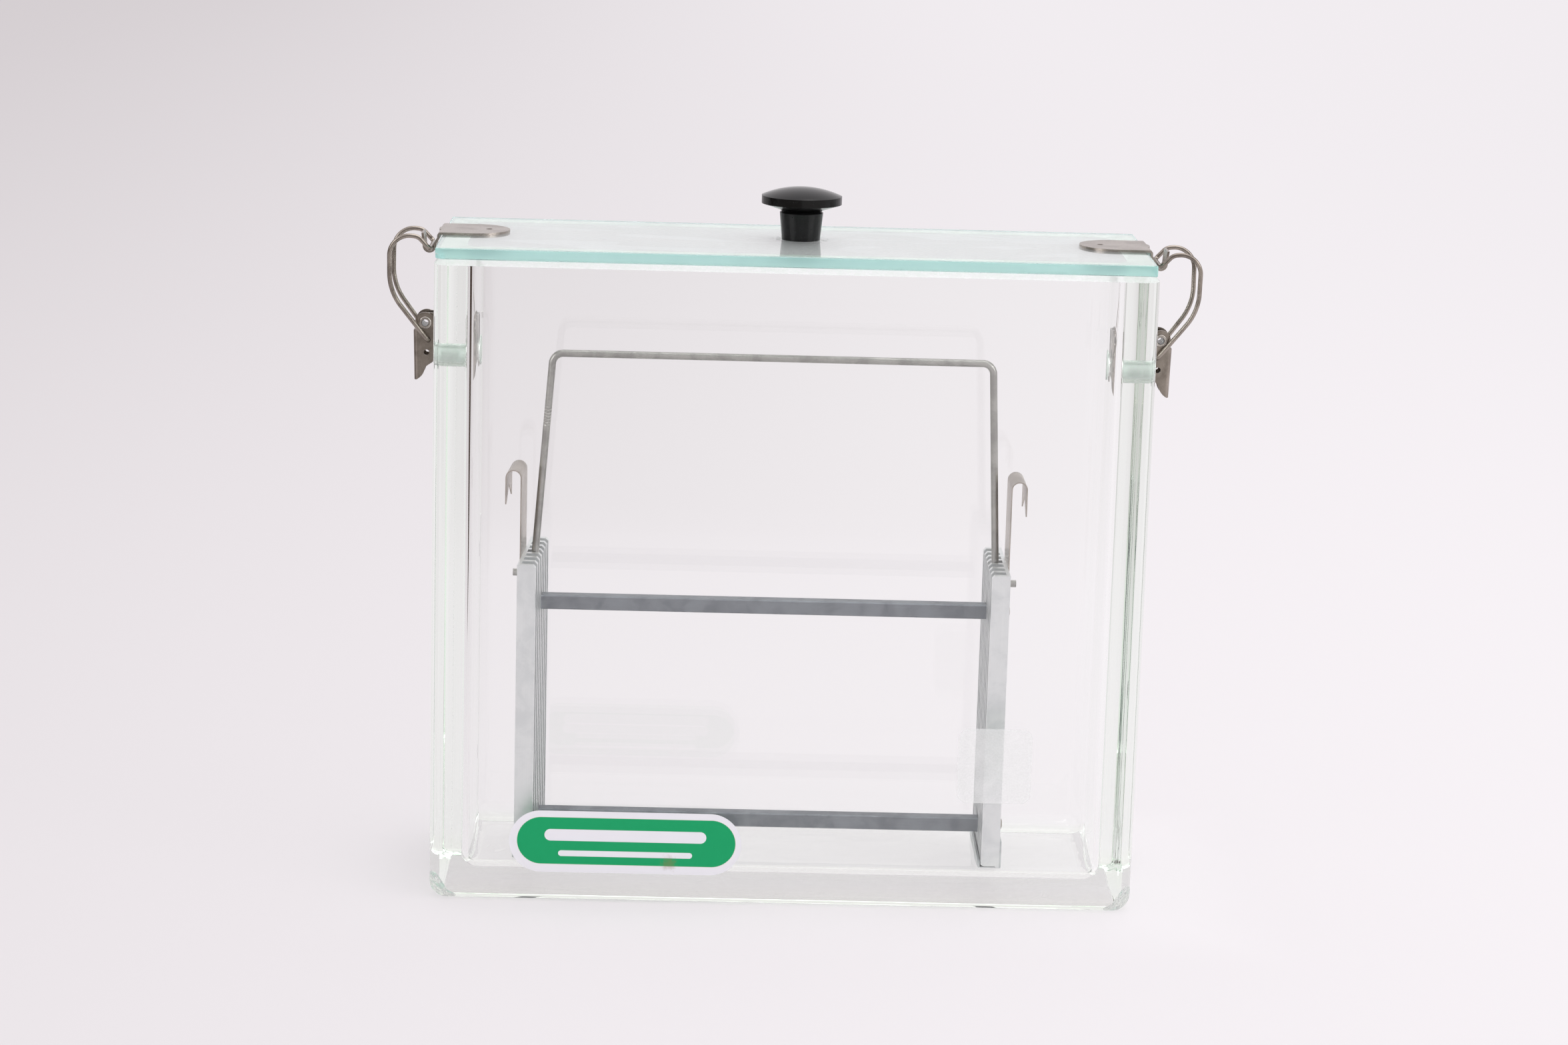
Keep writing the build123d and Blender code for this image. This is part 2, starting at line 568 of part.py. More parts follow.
def rack_foot():
    """The folded foot under an end plate: outer leg with a screw tab, floor and inner lip."""
    half = FOOT_WIDTH / 2
    lip_outer = FIN_END - FOOT_GAP
    floor = block((lip_outer - FOOT_SHEET, SPINE_OUTER + FOOT_SHEET), (-half, half), (FLOOR, FLOOR + FOOT_SHEET))
    leg = block((SPINE_OUTER, SPINE_OUTER + FOOT_SHEET), (-half, half), (FLOOR, FLOOR + FOOT_LEG))
    tab = block(
        (SPINE_OUTER, SPINE_OUTER + FOOT_SHEET),
        (-FOOT_TAB_WIDTH / 2, FOOT_TAB_WIDTH / 2),
        (FLOOR, LOWER_BAR_Z),
    )
    tab += rod_x(FOOT_TAB_WIDTH, (SPINE_OUTER, SPINE_OUTER + FOOT_SHEET), 0, LOWER_BAR_Z)
    lip = block((lip_outer - FOOT_SHEET, lip_outer), (-half, half), (FLOOR, FLOOR + FOOT_SHEET + FOOT_LIP))
    lip = fillet(lip.edges().filter_by(Axis.X).sort_by(Axis.Z)[-2:], FOOT_LIP_R)
    foot = floor + leg + tab + lip
    fold = foot.edges().filter_by(Axis.Y).group_by(Axis.Z)[0]
    foot = fillet(fold, FOOT_SHEET * SOFT_SHARE)
    through = (SPINE_INNER, SPINE_OUTER + FOOT_SHEET + CUTTER_MARGIN)
    return foot - rod_x(RACK_SCREW_D + RACK_SCREW_CLEARANCE, through, 0, LOWER_BAR_Z)


def front_label():
    """The plain pill-shaped label on the front face."""
    face = -TANK_DEPTH / 2
    pill = RectangleRounded(LABEL_WIDTH, LABEL_HEIGHT, LABEL_HEIGHT / 2 - HALF_ROUND_GAP)
    return Pos(LABEL_X, face, LABEL_Z) * Rot(90, 0, 0) * extrude(pill, LABEL_THICKNESS)


def pair(name, solid):
    """The right-hand piece and its mirror image, by node name."""
    return {f"{name}_right": solid, f"{name}_left": mirrored(solid)}


def rack_pair(name, solid):
    """Mirror a piece about the middle of the rack, turn it with its plate and place both."""
    return {f"{name}_right": on_rack(solid), f"{name}_left": on_rack(turned(mirrored(solid)))}


def all_parts():
    """Every node of the chamber, by name."""
    parts = {
        "glass_tank": glass_tank(),
        "lid_plate": lid_plate(),
        "lid_knob": lid_knob(),
        "front_label": front_label(),
        "rack_bar_upper": rack_bar(UPPER_BAR_Z),
        "rack_bar_lower": rack_bar(LOWER_BAR_Z),
        "rack_handle": rack_handle(),
    }
    parts["lid_clip_right"] = lid_clip(LID_WIDTH / 2 + LID_X)
    parts["lid_clip_left"] = mirrored(lid_clip(LID_WIDTH / 2 - LID_X))
    parts.update(pair("latch_base", latch_base()))
    parts.update(pair("latch_lever", latch_lever()))
    parts.update(pair("latch_eyelet", latch_eyelet()))
    parts.update(pair("latch_bail", latch_bail()))
    parts.update(pair("wall_plug", wall_plug()))
    parts.update(pair("latch_screw", latch_screw()))
    parts.update(rack_pair("rack_end_plate", rack_end_plate()))
    parts.update(rack_pair("rack_screws", rack_screws()))
    parts.update(rack_pair("rack_hook", rack_hook()))
    parts.update(rack_pair("rack_foot", rack_foot()))
    return parts


os.makedirs("parts", exist_ok=True)
for name, shape in all_parts().items():
    export_step(shape, f"parts/{name}.step")
    print(f"{name}: volume {shape.volume:.1f} mm3")
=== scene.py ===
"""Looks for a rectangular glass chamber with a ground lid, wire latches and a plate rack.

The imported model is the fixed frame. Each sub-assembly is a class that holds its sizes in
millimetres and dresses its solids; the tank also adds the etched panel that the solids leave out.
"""

from __future__ import annotations

import logging
import math
from dataclasses import dataclass, field, replace
from enum import Enum
from typing import Union

import bmesh
import bpy
from mathutils import Matrix, Vector


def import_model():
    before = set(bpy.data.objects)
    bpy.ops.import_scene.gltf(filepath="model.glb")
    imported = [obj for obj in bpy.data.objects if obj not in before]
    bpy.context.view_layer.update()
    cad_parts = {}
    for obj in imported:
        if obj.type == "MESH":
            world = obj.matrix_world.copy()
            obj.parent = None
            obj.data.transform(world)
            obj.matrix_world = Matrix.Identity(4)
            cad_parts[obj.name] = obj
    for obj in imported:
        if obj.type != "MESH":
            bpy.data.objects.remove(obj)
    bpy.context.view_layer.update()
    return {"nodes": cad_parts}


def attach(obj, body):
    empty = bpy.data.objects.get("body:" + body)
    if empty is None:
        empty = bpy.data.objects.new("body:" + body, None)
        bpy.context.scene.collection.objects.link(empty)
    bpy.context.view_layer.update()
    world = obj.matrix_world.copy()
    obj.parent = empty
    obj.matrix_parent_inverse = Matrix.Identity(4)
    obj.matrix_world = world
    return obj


LOG = logging.getLogger("chamber")
MM = 0.001

Colour = tuple[float, float, float]
Point = tuple[float, float, float]
Span = tuple[float, float]
Value = Union["Signal", float, int]
Tone = Union[Colour, bpy.types.NodeSocket]

WHITE: Colour = (1.0, 1.0, 1.0)
SKIN: Span = (0.12, 0.03)
"""How far from a surface, in millimetres, a zone of that surface starts and is full."""
CAUGHT_DEPTH = 4.5
"""The ray depth beyond which light counts as caught in the glass."""


@dataclass(frozen=True)
class Pattern:
    """Fractal noise: cycles in a millimetre along X, Y and Z, octaves, roughness and warp."""

    cycles: Point
    detail: float = 3.0
    rough: float = 0.5
    warp: float = 0.0

    @classmethod
    def even(cls, cycles: float, detail: float = 3.0, rough: float = 0.5, warp: float = 0.0) -> Pattern:
        """A pattern that is alike along all three axes."""
        return cls((cycles, cycles, cycles), detail, rough, warp)


class Side(Enum):
    """The two ends of the chamber."""

    LEFT = -1
    RIGHT = 1

    @property
    def word(self) -> str:
        """The word that the names of this end's pieces finish with."""
        return self.name.lower()


class Grain(Enum):
    """Which way the drawn lines of a metal run."""

    ALONG_X = Pattern((0.05, 6.0, 6.0), 4.0, 0.65)
    ALONG_Y = Pattern((6.0, 0.05, 6.0), 4.0, 0.65)
    ALONG_Z = Pattern((6.0, 6.0, 0.03), 4.0, 0.65)
    TUMBLED = Pattern((3.0, 3.0, 3.0), 4.0, 0.65)


class Signal:
    """One value socket of a node tree, for use in Python expressions."""

    def __init__(self, tree: Shader, socket: bpy.types.NodeSocket) -> None:
        """Wrap a socket.

        Args:
            tree: The shader that the socket is in.
            socket: An output socket that carries a number.
        """
        self.tree = tree
        self.socket = socket

    def __add__(self, other: Value) -> Signal:
        """Sum."""
        return self.tree.maths("ADD", self, other)

    def __radd__(self, other: Value) -> Signal:
        """Sum with the number first."""
        return self.tree.maths("ADD", other, self)

    def __sub__(self, other: Value) -> Signal:
        """Difference."""
        return self.tree.maths("SUBTRACT", self, other)

    def __rsub__(self, other: Value) -> Signal:
        """Difference with the number first."""
        return self.tree.maths("SUBTRACT", other, self)

    def __mul__(self, other: Value) -> Signal:
        """Product."""
        return self.tree.maths("MULTIPLY", self, other)

    def __rmul__(self, other: Value) -> Signal:
        """Product with the number first."""
        return self.tree.maths("MULTIPLY", other, self)

    def __abs__(self) -> Signal:
        """Size without sign."""
        return self.tree.maths("ABSOLUTE", self)

    def __gt__(self, other: Value) -> Signal:
        """1 where this value is the larger one, else 0."""
        return self.tree.maths("GREATER_THAN", self, other)

    def __lt__(self, other: Value) -> Signal:
        """1 where this value is the smaller one, else 0."""
        return self.tree.maths("LESS_THAN", self, other)

    def larger(self, other: Value) -> Signal:
        """The larger of two values."""
        return self.tree.maths("MAXIMUM", self, other)

    def root(self) -> Signal:
        """Square root."""
        return self.tree.maths("SQRT", self)

    def rise(self, low: float, high: float) -> Signal:
        """A smooth step from 0 at low to 1 at high.

        Args:
            low: Where the step starts.
            high: Where it ends; below low, the step falls instead.

        Returns:
            The step as a signal.
        """
        if high < low:
            return 1 - self.rise(high, low)
        inputs = {"Value": self, "From Min": low, "From Max": high}
        node = self.tree.node("ShaderNodeMapRange", {"interpolation_type": "SMOOTHSTEP"}, inputs)
        return Signal(self.tree, node.outputs["Result"])


class Shader:
    """The node tree of one material, or of the world."""

    def __init__(self, owner: bpy.types.Material | bpy.types.World) -> None:
        """Start an empty tree.

        Args:
            owner: The material or world that the tree belongs to.
        """
        self.owner = owner
        self.owner.use_nodes = True
        self.nodes = self.owner.node_tree.nodes
        self.links = self.owner.node_tree.links
        self.nodes.clear()
        self._axes: dict[str, Signal] = {}

    @classmethod
    def of_material(cls, name: str) -> Shader:
        """The empty tree of a new material with a name."""
        return cls(bpy.data.materials.new(name))

    def node(self, kind: str, settings: dict, inputs: dict) -> bpy.types.Node:
        """Add any node.

        Args:
            kind: The node's type name.
            settings: Its own properties, set first; "stops" fills a colour ramp.
            inputs: A value, signal or socket for each input, by name or number.

        Returns:
            The node.
        """
        made = self.nodes.new(kind)
        for key, value in settings.items():
            if key == "stops":
                ramp = made.color_ramp
                while len(ramp.elements) < len(value):
                    ramp.elements.new(0.5)
                for stop, (place, colour) in zip(ramp.elements, value):
                    stop.position = place
                    stop.color = (*colour, 1.0)
            else:
                setattr(made, key, value)
        for key, value in inputs.items():
            socket = made.inputs[key]
            if isinstance(value, Signal):
                self.links.new(value.socket, socket)
            elif isinstance(value, bpy.types.NodeSocket):
                self.links.new(value, socket)
            elif isinstance(value, tuple) and len(value) == 3 and socket.type == "RGBA":
                socket.default_value = (*value, 1.0)
            else:
                socket.default_value = value
        return made

    def maths(self, operation: str, *values: Value) -> Signal:
        """A Math node over one or two values."""
        node = self.node("ShaderNodeMath", {"operation": operation}, dict(enumerate(values)))
        return Signal(self, node.outputs[0])

    def place(self) -> bpy.types.NodeSocket:
        """The point on the piece, in millimetres of the shared frame."""
        here = self.node("ShaderNodeTexCoord", {}, {}).outputs["Object"]
        scale = {0: here, 1: (1 / MM, 1 / MM, 1 / MM)}
        return self.node("ShaderNodeVectorMath", {"operation": "MULTIPLY"}, scale).outputs[0]

    def axis(self, letter: str) -> Signal:
        """One of the point's three values, X, Y or Z, in millimetres."""
        if not self._axes:
            self._axes = dict(zip("XYZ", self.split(self.place())))
        return self._axes[letter]

    def split(self, vector: bpy.types.NodeSocket) -> tuple[Signal, Signal, Signal]:
        """The three values of a vector."""
        parts = self.node("ShaderNodeSeparateXYZ", {}, {0: vector})
        return tuple(Signal(self, parts.outputs[name]) for name in "XYZ")

    def facing(self) -> tuple[Signal, Signal, Signal]:
        """The direction that the surface faces."""
        return self.split(self.node("ShaderNodeNewGeometry", {}, {}).outputs["Normal"])

    def rays(self, *kinds: str) -> Signal:
        """The largest of the Light Path values that are named."""
        path = self.node("ShaderNodeLightPath", {}, {})
        found = Signal(self, path.outputs[kinds[0]])
        for kind in kinds[1:]:
            found = found.larger(Signal(self, path.outputs[kind]))
        return found

    def caught(self) -> Signal:
        """1 for light that has been thrown about in the glass for too long, else 0."""
        return self.rays("Ray Depth") > CAUGHT_DEPTH

    def noise(self, pattern: Pattern) -> Signal:
        """Fractal noise of a pattern, about 0.5."""
        stretch = {0: self.place(), 1: pattern.cycles}
        scaled = self.node("ShaderNodeVectorMath", {"operation": "MULTIPLY"}, stretch)
        node = self.node("ShaderNodeTexNoise", {"noise_dimensions": "3D"}, {
            "Vector": scaled.outputs[0],
            "Scale": 1.0,
            "Detail": pattern.detail,
            "Roughness": pattern.rough,
            "Distortion": pattern.warp,
        })
        return Signal(self, node.outputs[0])

    def blend(self, factor: Value, first: Tone, second: Tone) -> bpy.types.NodeSocket:
        """A colour between two colours."""
        node = self.node("ShaderNodeMix", {"data_type": "RGBA"}, {0: factor, 6: first, 7: second})
        return node.outputs[2]

    def bump(self, height: Signal, depth: float = 1.0) -> bpy.types.NodeSocket:
        """A normal for relief of a depth in millimetres."""
        inputs = {"Height": height, "Distance": depth * MM, "Strength": 1.0}
        return self.node("ShaderNodeBump", {}, inputs).outputs["Normal"]

    def layer(self, factor: Value, below: bpy.types.NodeSocket,
              above: bpy.types.NodeSocket) -> bpy.types.NodeSocket:
        """One shader over another."""
        return self.node("ShaderNodeMixShader", {}, {0: factor, 1: below, 2: above}).outputs[0]

    def solid(self, inputs: dict) -> bpy.types.NodeSocket:
        """A Principled shader."""
        return self.node("ShaderNodeBsdfPrincipled", {}, inputs).outputs[0]

    def film(self, colour: Colour) -> bpy.types.NodeSocket:
        """A clear film that tints what is seen through it."""
        return self.node("ShaderNodeBsdfTransparent", {}, {"Color": colour}).outputs[0]

    def round_about(self, along: Signal, across: Signal) -> Signal:
        """The distance from a line, out of the distances along two axes."""
        return (along * along + across * across).root()

    def pill(self, centre: Span, half: Span, radius: float) -> Signal:
        """Distance outside a round-cornered panel on the front face.

        Args:
            centre: Its middle in X and Z.
            half: Half its width and height.
            radius: The radius of its corners.

        Returns:
            The distance in millimetres, below 0 inside.
        """
        across = (abs(self.axis("X") - centre[0]) - (half[0] - radius)).larger(0.0)
        up = (abs(self.axis("Z") - centre[1]) - (half[1] - radius)).larger(0.0)
        return self.round_about(across, up) - radius

    def finish(self, surface: bpy.types.NodeSocket,
               volume: bpy.types.NodeSocket | None = None) -> bpy.types.Material:
        """Join the shaders to the output and hand the material over.

        Args:
            surface: The shader of the surface.
            volume: The shader of what is inside, if it matters.

        Returns:
            The material.
        """
        inputs = {"Surface": surface}
        if volume is not None:
            inputs["Volume"] = volume
        self.node("ShaderNodeOutputMaterial", {}, inputs)
        return self.owner


@dataclass(frozen=True)
class Glass:
    """Clear glass that colours light by the depth that it crosses."""

    absorbs: Colour = (0.35, 0.97, 0.36)
    density: float = 0.6
    shadow: Colour = (0.93, 0.965, 0.945)
    faint: Colour = (0.972, 0.986, 0.976)
    index: float = 1.5

    def absorption(self, shader: Shader) -> bpy.types.NodeSocket:
        """The volume part of the glass."""
        inputs = {"Color": self.absorbs, "Density": self.density}
        return shader.node("ShaderNodeVolumeAbsorption", {}, inputs).outputs[0]

    def let_lamps_through(self, shader: Shader, surface: bpy.types.NodeSocket) -> bpy.types.NodeSocket:
        """Swap the glass for a clear film where lamps shine through it or light is caught in it.

        Args:
            shader: The glass's tree.
            surface: The glass as it is seen.

        Returns:
            The surface with both films.
        """
        seen = shader.layer(shader.caught(), surface, shader.film(self.faint))
        return shader.layer(shader.rays("Is Shadow Ray"), seen, shader.film(self.shadow))


@dataclass(frozen=True)
class TankGlass(Glass):
    """Moulded tank glass: drawn streaks in the ends, a ground rim and bores, broken corners."""

    half_width: float = 152.7
    half_depth: float = 50.0
    rim_z: float = 280.0
    rim_chamfer: float = 2.5
    inner_half: float = 139.7
    floor_z: float = 11.6
    breaks: tuple[tuple[Point, float], ...] = (((1.0, -1.0, -0.6), 7.0), ((0.365, -1.0, -1.0), 5.0))
    bore_y: float = 5.0
    bore_z: float = 233.4
    bore_r: float = 5.0
    seam_x: float = -147.4
    crystal: Colour = (0.96, 0.96, 0.98)
    crushed: Colour = (0.76, 0.83, 0.79)
    pool_green: Colour = (0.55, 0.86, 0.70)
    sole_tint: Colour = (0.98, 1.0, 0.95)
    streaks: Pattern = Pattern((0.32, 0.10, 0.002), 3.0, 0.6)
    sways: Pattern = Pattern((0.09, 0.03, 0.003), 2.0)
    ripples: Pattern = Pattern((0.022, 0.03, 0.05), 2.0, 0.45, 0.6)
    crystals: Pattern = Pattern.even(0.7, 5.0, 0.75, 1.2)
    speckle: Pattern = Pattern.even(2.2, 3.0, 0.7)
    pools: Pattern = Pattern.even(0.25, 2.0)
    mottle: Pattern = Pattern.even(0.08, 4.0, 0.65)
    streak_depth: float = 0.008
    sway_depth: float = 0.03
    ripple_depth: float = 0.5
    break_depth: float = 1.6
    grind_depth: float = 0.04

    def broken(self, shader: Shader) -> Signal:
        """1 on the flat breaks of both front corners, else 0."""
        x, y, z = (shader.axis(letter) for letter in "XYZ")
        corner = Vector((self.half_width, -self.half_depth, 0.0))
        found: Signal | None = None
        for normal, setback in self.breaks:
            outward = Vector(normal).normalized()
            reach = outward.dot(corner) - setback
            depth = abs(x) * outward.x + y * outward.y + z * outward.z
            face = (reach - depth).rise(*SKIN)
            found = face if found is None else found.larger(face)
        return found

    def ground(self, shader: Shader) -> Signal:
        """1 on the ground rim and in the bores, else 0."""
        y, z = shader.axis("Y"), shader.axis("Z")
        bore = (shader.round_about(y - self.bore_y, z - self.bore_z) - self.bore_r).rise(*SKIN)
        low = self.rim_z - self.rim_chamfer
        return bore.larger(z.rise(low - 0.3, low + 0.1))

    def relief(self, shader: Shader) -> Signal:
        """Height of the mould's streaks on the ends and of the waves in the floor."""
        x, z = abs(shader.axis("X")), shader.axis("Z")
        above_floor = z.rise(self.floor_z + 6.0, self.floor_z + 45.0)
        ends = x.rise(self.inner_half - 4.0, self.inner_half - 1.0) * above_floor
        drawn = shader.noise(self.streaks) * self.streak_depth + shader.noise(self.sways) * self.sway_depth
        base = z.rise(self.floor_z + 12.0, self.floor_z + 2.0)
        return ends * drawn + base * shader.noise(self.ripples) * self.ripple_depth

    def seam(self, shader: Shader, crystals: Signal, speckle: Signal) -> Signal:
        """1 on the broken seam line down the back, else 0."""
        wander = (crystals - 0.5) * 1.4
        line = abs(shader.axis("X") - self.seam_x + wander).rise(0.28, 0.1)
        back = shader.axis("Y").rise(self.half_depth - 0.6, self.half_depth - 0.2)
        return line * back * speckle.rise(0.42, 0.6)

    def build(self, name: str) -> bpy.types.Material:
        """Make the material.

        Args:
            name: The material's name.

        Returns:
            The material.
        """
        shader = Shader.of_material(name)
        crystals, speckle = shader.noise(self.crystals), shader.noise(self.speckle)
        broken, ground = self.broken(shader), self.ground(shader)
        rough = broken * crystals * self.break_depth + ground * speckle * self.grind_depth
        normal = shader.bump(self.relief(shader) + rough)
        pool = shader.noise(self.pools).rise(0.55, 0.62) * broken
        sole = shader.axis("Z").rise(self.floor_z, self.floor_z - 8.0)
        clear = shader.solid({
            "Base Color": shader.blend(pool, shader.blend(sole, WHITE, self.sole_tint), self.pool_green),
            "Roughness": 0.004 + broken * (0.08 + crystals * 0.3) + ground * 0.3,
            "IOR": self.index,
            "Transmission Weight": 1.0,
            "Normal": normal,
        })
        pale = shader.blend(crystals.rise(0.45, 0.62), self.crushed, self.crystal)
        milk = shader.node("ShaderNodeBsdfDiffuse", {}, {"Color": pale, "Normal": normal}).outputs[0]
        ground_milk = ground * (0.22 + shader.noise(self.mottle) * 0.3)
        broken_milk = broken * crystals.rise(0.40, 0.60) * 0.75
        share = broken_milk + ground_milk + self.seam(shader, crystals, speckle) * 0.3
        surface = self.let_lamps_through(shader, shader.layer(share, clear, milk))
        return shader.finish(surface, self.absorption(shader))


@dataclass(frozen=True)
class LidGlass(Glass):
    """Plate glass with cyan edges, a milky underside, glue round the knob and a chip."""

    absorbs: Colour = (0.25, 0.88, 0.78)
    density: float = 2.0
    underside_z: float = 280.0
    top_z: float = 284.8
    knob: Span = (2.0, 4.5)
    knob_r: float = 8.3
    chip: Span = (-151.9, -50.0)
    edge_tint: Colour = (0.66, 0.93, 0.89)
    milk: Colour = (0.52, 0.555, 0.545)
    edge_milk: Colour = (0.40, 0.71, 0.68)
    glue: Colour = (0.64, 0.67, 0.67)
    clouds: Pattern = Pattern((0.022, 0.045, 0.05), 4.0, 0.55, 1.2)
    patches: Pattern = Pattern((0.016, 0.05, 0.05), 2.0, 0.4, 0.8)
    specks: Pattern = Pattern.even(0.6)
    crumbs: Pattern = Pattern.even(0.45, 4.0, 0.8)
    speck_depth: float = 0.02
    chip_depth: float = 0.5

    def away_from(self, shader: Shader, centre: Span) -> Signal:
        """Distance across the lid from a point, in millimetres."""
        return shader.round_about(shader.axis("X") - centre[0], shader.axis("Y") - centre[1])

    def build(self, name: str) -> bpy.types.Material:
        """Make the material.

        Args:
            name: The material's name.

        Returns:
            The material.
        """
        shader = Shader.of_material(name)
        z = shader.axis("Z")
        under, upper = (z - self.underside_z).rise(*SKIN), (self.top_z - z).rise(*SKIN)
        edge = abs(shader.facing()[2]).rise(0.9, 0.6)
        cloud = shader.noise(self.clouds).rise(0.42, 0.62)
        patch = shader.noise(self.patches).rise(0.56, 0.60)
        crumbs = shader.noise(self.crumbs).rise(0.5, 0.62)
        glue = self.away_from(shader, self.knob).rise(self.knob_r + 6.0, self.knob_r + 0.5) * upper * crumbs
        chip_height = z.rise(self.underside_z + 3.2, self.underside_z + 2.2)
        chip = self.away_from(shader, self.chip).rise(4.5, 3.0) * chip_height
        relief = shader.noise(self.specks) * self.speck_depth + chip * crumbs * self.chip_depth
        clear = shader.solid({
            "Base Color": shader.blend(edge, WHITE, self.edge_tint),
            "Roughness": 0.02 + under * 0.3 + edge * 0.35 + chip * 0.2,
            "IOR": self.index,
            "Transmission Weight": 1.0,
            "Normal": shader.bump(relief),
        })
        milk_colour = shader.blend(edge, self.milk, self.edge_milk)
        white = shader.blend(glue.larger(patch * under), milk_colour, self.glue)
        milk = shader.node("ShaderNodeBsdfDiffuse", {}, {"Color": white}).outputs[0]
        ground = under * (0.38 + cloud * 0.14 + patch * 0.2)
        share = ground + edge * 0.45 + glue * 0.7 + chip * 0.2
        surface = self.let_lamps_through(shader, shader.layer(share, clear, milk))
        return shader.finish(surface, self.absorption(shader))


@dataclass(frozen=True)
class Metal:
    """Drawn, rolled or extruded metal with fine lines, stains and dull spots, and painted shade inside a
    bore where one is given.
    """

    colour: Colour
    stain: Colour
    grain: Grain
    roughness: float = 0.3
    relief: float = 0.01
    line_share: float = 0.4
    line_roughness: float = 0.22
    blotch_roughness: float = 0.08
    spot_share: float = 0.15
    blotches: Pattern = Pattern.even(0.09, 4.0, 0.6, 0.4)
    spots: Pattern = Pattern.even(0.9, 3.0, 0.6)
    nicks: tuple[float, float, float] | None = None
    nick_colour: Colour = (0.75, 0.73, 0.70)
    nick_share: float = 0.6
    nick_depth: float = 0.35
    nick_rate: float = 4.6
    nick_wobble: Pattern = Pattern.even(0.4)
    bore: tuple[float, float, float] | None = None
    # the near-black colour below is painted shade inside the bore, not the metal's own colour
    bore_dark: Colour = (0.03, 0.026, 0.022)

    def bored(self, shader: Shader) -> Signal:
        """1 inside a bore that runs along Y, at a place in X and Z and with a radius: the mask for the
        painted shade in the bore.
        """
        x, z = abs(shader.axis("X")) - self.bore[0], shader.axis("Z") - self.bore[1]
        return (shader.round_about(x, z) - self.bore[2]).rise(0.1, -0.05)

    def worn(self, shader: Shader) -> Signal:
        """Tool marks across a wire, in a range of heights on one side of a place in X."""
        low, high, side = self.nicks
        z, x = shader.axis("Z"), shader.axis("X")
        heights = z.rise(low - 0.6, low + 0.4) * z.rise(high + 0.6, high - 0.4)
        teeth = shader.maths("SINE", z * self.nick_rate + shader.noise(self.nick_wobble) * 5.0)
        return heights * x.rise(side + 5.0, side - 5.0) * teeth.rise(0.1, 0.9)

    def build(self, name: str) -> bpy.types.Material:
        """Make the material.

        Args:
            name: The material's name.

        Returns:
            The material.
        """
        shader = Shader.of_material(name)
        lines, blotch = shader.noise(self.grain.value), shader.noise(self.blotches)
        spot = shader.noise(self.spots).rise(0.6, 0.72) * self.spot_share
        tone = shader.blend(blotch.rise(0.38, 0.68), self.colour, self.stain)
        tone = shader.blend(lines.rise(0.3, 0.75) * self.line_share, tone, self.stain)
        tone = shader.blend(spot, tone, self.stain)
        height = lines * self.relief
        if self.nicks:
            marks = self.worn(shader)
            height = height - marks * self.nick_depth
            tone = shader.blend(marks * self.nick_share, tone, self.nick_colour)
        # painted shade: the inside of the bore is darkened to stand in for its shade
        if self.bore:
            tone = shader.blend(self.bored(shader), tone, self.bore_dark)
        uneven = (lines - 0.5) * self.line_roughness + blotch * self.blotch_roughness + spot
        return shader.finish(shader.solid({
            "Base Color": tone,
            "Metallic": 1.0,
            "Roughness": self.roughness + uneven,
            "Normal": shader.bump(height),
        }))


@dataclass(frozen=True)
class Plastic:
    """Moulded or turned plastic with faint swirls and dust."""

    colour: Colour
    dust: Colour
    roughness: float = 0.2
    dust_share: float = 0.1
    relief: float = 0.004
    shine: float = 0.3
    swirls: Pattern = Pattern((0.25, 0.25, 2.0), 3.0)
    grains: Pattern = Pattern.even(1.4, 4.0, 0.7)

    def build(self, name: str) -> bpy.types.Material:
        """Make the material.

        Args:
            name: The material's name.

        Returns:
            The material.
        """
        shader = Shader.of_material(name)
        swirl = shader.noise(self.swirls)
        dust = shader.noise(self.grains).rise(0.6, 0.8) * self.dust_share
        return shader.finish(shader.solid({
            "Base Color": shader.blend(dust, self.colour, self.dust),
            "Roughness": self.roughness + swirl * 0.05 + dust * 0.5,
            "Specular IOR Level": self.shine,
            "Normal": shader.bump(swirl, self.relief),
        }))


@dataclass(frozen=True)
class Translucent:
    """Milky plastic that light passes through, whiter at its ends, where a glint is painted."""

    body: Colour = (0.82, 0.86, 0.85)
    cloudy: Colour = (0.72, 0.75, 0.73)
    core: Colour = (0.46, 0.47, 0.46)
    top: Colour = (0.45, 0.51, 0.46)
    # painted glint: the whiter colour of the plug's ends
    end: Colour = (0.92, 0.96, 0.93)
    span: Span = (141.5, 150.5)
    middle_z: float = 233.4
    share: float = 0.6
    index: float = 1.45
    clouds: Pattern = Pattern.even(0.3, 4.0, 0.6)

    def build(self, name: str) -> bpy.types.Material:
        """Make the material.

        Args:
            name: The material's name.

        Returns:
            The material.
        """
        shader = Shader.of_material(name)
        x, up = abs(shader.axis("X")), shader.axis("Z") - self.middle_z
        inner, outer = self.span
        ends = x.rise(inner + 1.5, inner).larger(x.rise(outer - 1.0, outer))
        cloud = shader.noise(self.clouds)
        core = abs(up).rise(2.8, 0.8) * x.rise(inner + 2.4, inner + 3.4)
        body = shader.blend(core * 0.55, shader.blend(cloud * 0.5, self.body, self.cloudy), self.core)
        topped = shader.blend(up.rise(2.9, 3.5) * 0.7, body, self.top)
        # painted glint: the ends are blended towards the whiter glint colour
        tone = shader.blend(ends, topped, self.end)
        clear = shader.solid({
            "Base Color": shader.blend(0.5, tone, WHITE),
            "Roughness": 0.35 + cloud * 0.2,
            "IOR": self.index,
            "Transmission Weight": 1.0,
        })
        solid = shader.solid({"Base Color": tone, "Roughness": 0.4 + cloud * 0.1})
        return shader.finish(shader.layer(self.share + (cloud - 0.5) * 0.2, clear, solid))


